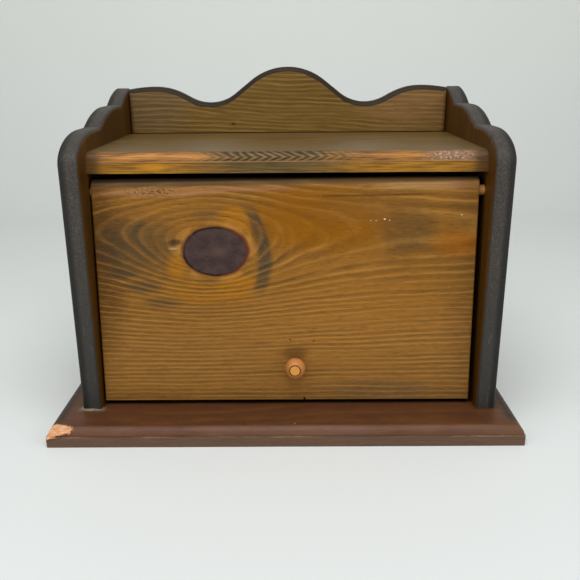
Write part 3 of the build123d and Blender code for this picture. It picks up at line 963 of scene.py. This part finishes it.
# %% Nails and screws
def steel_recipe(dark, light):
    """Steel with fine scratches and a few rust freckles."""

    def recipe(tree):
        x, y, z = place(tree)
        marks = use(tree, handling_marks, X=x, Y=y, Z=z, Nick_size=0.02)
        scratches = noise(x * 3.0, y * 0.4, z * 3.0, 4.0, 0.7)
        colour = tint(scratches, dark, light)
        rust = rise(marks["Grain"], 0.56, 0.7)
        return tint(rust * 0.6, colour, "#6b3f22"), 0.35 + rust * 0.4, scratches

    return recipe


dress(
    finish("dull_steel", steel_recipe("#4c4a48", "#8a8784"), metal=1.0, relief=0.03),
    "shelf_nails", "gallery_nails", "back_nails", "stop_brads",
)
dress(finish("bright_steel", steel_recipe("#8d8c88", "#cfcdc8"), metal=1.0, relief=0.03), "base_screws")

# %% [markdown]
# ## Old glue at the left foot
#
# Where the left side meets the base board, glue was squeezed out and never wiped off. It is
# a thin lumpy bead that hugs the foot of the board. A painted line would be flat, so it is
# a small surface: a quarter-round profile carried along the foot, its width changed by a
# few slow waves.

# %% The bead of glue
def glue_bead(steps=160, around=10):
    """Profile carried along a path. The path follows the board's outer face, its rounded
    corner and its front edge; the profile is a quarter circle that leans on the board, its
    radius a slow wave of the distance along the path that dies out at both ends."""
    corner = 4.0               # the rounded arris of the side
    reach = 2.8                # how far the glue spread from it
    outer, inner = left_low[0], left_high[0] + 0.3
    front = left_low[1]
    runs = np.array([6.0, corner * np.pi / 2, inner - outer - corner])
    travel = np.linspace(0.0, runs.sum(), steps)
    turn = np.clip((travel - runs[0]) / runs[1], 0.0, 1.0) * np.pi / 2
    straight = np.clip(travel - runs[0] - runs[1], 0.0, None)
    lead = np.clip(runs[0] - travel, 0.0, None)
    path_x = outer + corner - corner * np.cos(turn) + straight
    path_y = front + corner - corner * np.sin(turn) + lead
    out_x, out_y = -np.cos(turn), -np.sin(turn)
    share = travel / travel[-1]
    lumps = 1 + 0.22 * np.sin(share * 9 + 2) + 0.12 * np.sin(share * 31) + 0.06 * np.sin(share * 83)
    size = reach * lumps * np.sin(np.pi * share) ** 0.5 + 0.02
    swing = np.linspace(0.0, np.pi / 2, around)
    away = np.outer(size, np.cos(swing))
    up = np.outer(size, np.sin(swing)) * 0.4
    floor = left_low[2] + 0.02
    x = path_x[:, None] + out_x[:, None] * away
    y = path_y[:, None] + out_y[:, None] * away
    z = floor + up
    # close the profile along the board's foot, so the bead is a solid strip
    x = np.concatenate([x, path_x[:, None]], axis=1)
    y = np.concatenate([y, path_y[:, None]], axis=1)
    z = np.concatenate([z, np.full((steps, 1), floor)], axis=1)
    return np.stack([x, y, z], axis=-1)


def mesh_object(name, grid, faces):
    """A new object from a grid of points in millimetres and the faces between them."""
    mesh = bpy.data.meshes.new(name)
    mesh.from_pydata((grid.reshape(-1, 3) * MM).tolist(), [], faces)
    mesh.validate()
    made = bpy.data.objects.new(name, mesh)
    bpy.context.scene.collection.objects.link(made)
    return made


def tube_mesh(name, grid):
    """A closed tube from a grid of rings: each ring joins the next, and each end is one
    many-sided face."""
    rings, sides = grid.shape[:2]
    ring, side = np.meshgrid(np.arange(rings - 1), np.arange(sides), indexing="ij")
    following = (side + 1) % sides
    quads = np.stack(
        [ring * sides + side, ring * sides + following,
         (ring + 1) * sides + following, (ring + 1) * sides + side], axis=-1
    ).reshape(-1, 4)
    ends = [list(range(sides))[::-1], list(range((rings - 1) * sides, rings * sides))]
    return mesh_object(name, grid, quads.tolist() + ends)


def smooth(piece):
    """Shade the piece smoothly."""
    piece.data.polygons.foreach_set("use_smooth", np.ones(len(piece.data.polygons), bool))
    return piece


def outward(piece):
    """Turn every face outwards and shade the piece smoothly."""
    shell = bmesh.new()
    shell.from_mesh(piece.data)
    bmesh.ops.recalc_face_normals(shell, faces=shell.faces)
    shell.to_mesh(piece.data)
    shell.free()
    return smooth(piece)


def glue_recipe(tree):
    x, y, z = place(tree)
    marks = use(tree, handling_marks, X=x, Y=y, Z=z, Nick_size=0.03)
    colour = tint(rise(marks["Grain"], 0.38, 0.62), "#5d5344", "#978c78")
    return colour, 0.6 + marks["Grain"] * 0.2, marks["Grain"]


glue = outward(tube_mesh("glue_bead", glue_bead()))
glue.data.materials.append(finish("dried_glue", glue_recipe, relief=0.3))
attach(glue, "case")
print("glue bead faces:", len(glue.data.polygons))

# %% [markdown]
# ## Floor and backdrop
#
# A photographer's sweep: a pale floor that curves up into a pale wall, so no hard line
# crosses the picture behind the box. It is one surface, worked out from its side view.

# %% The sweep
def sweep(name, near=-2600.0, far=900.0, bend=420.0, height=2600.0, half_width=3200.0):
    """Side view: straight floor, a quarter circle, a straight wall; then spread sideways."""
    floor_steps, bend_steps, wall_steps, wide = 24, 40, 12, 9
    angle = np.linspace(0.0, np.pi / 2, bend_steps)[1:]
    floor_y = np.linspace(near, far, floor_steps)
    wall_z = np.linspace(bend, height, wall_steps)[1:]
    side_y = np.concatenate([floor_y, far + bend * np.sin(angle), np.full(len(wall_z), far + bend)])
    side_z = np.concatenate([np.zeros(floor_steps), bend * (1 - np.cos(angle)), wall_z])
    count = len(side_y)
    grid = np.zeros((count, wide, 3))
    grid[..., 0] = np.linspace(-half_width, half_width, wide)
    grid[..., 1] = side_y[:, None]
    grid[..., 2] = side_z[:, None]
    row, column = np.meshgrid(np.arange(count - 1), np.arange(wide - 1), indexing="ij")
    first = (row * wide + column).ravel()
    faces = np.stack([first, first + 1, first + wide + 1, first + wide], axis=-1)
    return smooth(mesh_object(name, grid, faces.tolist()))


def sweep_recipe(tree):
    x, y, z = place(tree)
    near = fall(y, -420.0, 260.0)
    colour = tint(near, "#e6eae8", "#e0e4e3")
    speck = noise(x * 0.02, y * 0.02, z * 0.02, 3.0)
    return tint(rise(z, 60.0, 620.0), colour, "#eef0ea"), 0.7 + speck * 0.05, speck


backdrop = sweep("backdrop")
backdrop.data.materials.append(finish("pale_sweep", sweep_recipe, relief=0.02, specular=0.2))
print("backdrop faces:", len(backdrop.data.polygons))

# %% [markdown]
# ## Light
#
# Soft daylight from above and a little in front, a weaker fill from each side, and a pale
# world. Plain light shows colours about as they are written.

# %% Lamps and world
def lamp(name, at, aim, size, power):
    """A square area lamp at one point, aimed at another, both in millimetres."""
    data = bpy.data.lights.new(name, "AREA")
    data.size = size * MM
    data.energy = power
    made = bpy.data.objects.new(name, data)
    bpy.context.scene.collection.objects.link(made)
    made.location = Vector(at) * MM
    made.rotation_euler = (Vector(aim) - Vector(at)).to_track_quat("-Z", "Y").to_euler()
    print(name, "gives", power, "watts")


box_middle = (0, 0, 150)
lamp("window_above", at=(-60, -700, 1500), aim=box_middle, size=1300, power=18.0)
lamp("fill_left", at=(-1300, -1100, 700), aim=box_middle, size=900, power=5.2)
lamp("fill_right", at=(1300, -1000, 800), aim=box_middle, size=900, power=6.2)

world = bpy.data.worlds.new("pale_room")
bpy.context.scene.world = world
world.use_nodes = True
room = world.node_tree.nodes["Background"]
room.inputs["Color"].default_value = paint("#eceeee")
room.inputs["Strength"].default_value = 0.4

# %% [markdown]
# ## Camera
#
# The camera stands a little above the shelf and looks down. Its place, angles and focal
# length were found by lining up the corners of the box with the photograph. The focal
# length there is in pixels of a frame 580 wide.

# %% The camera
def camera(at, yaw, pitch, roll, focal_pixels, frame_pixels=580):
    """Angles in degrees: yaw to the right, pitch upwards, roll as seen by the camera."""
    turned, tilted, rolled = (math.radians(angle) for angle in (yaw, pitch, roll))
    forward = Vector((
        math.sin(turned) * math.cos(tilted), math.cos(turned) * math.cos(tilted), math.sin(tilted)
    ))
    level = Vector((math.cos(turned), -math.sin(turned), 0.0))
    upright = level.cross(forward)
    right = level * math.cos(rolled) + upright * math.sin(rolled)
    up = upright * math.cos(rolled) - level * math.sin(rolled)
    data = bpy.data.cameras.new("camera")
    data.sensor_width = 36.0
    data.lens = focal_pixels / frame_pixels * data.sensor_width
    made = bpy.data.objects.new("camera", data)
    bpy.context.scene.collection.objects.link(made)
    axes = Matrix((right, up, -forward)).transposed()
    made.matrix_world = Matrix.Translation(Vector(at) * MM) @ axes.to_4x4()
    return made


view = camera(
    at=(8.828, -716.219, 341.11), yaw=-0.335, pitch=-17.816, roll=-0.431, focal_pixels=695.35
)
bpy.context.scene.camera = view
bpy.context.scene.view_settings.view_transform = "Standard"
print("lens", round(view.data.lens, 2), "mm")
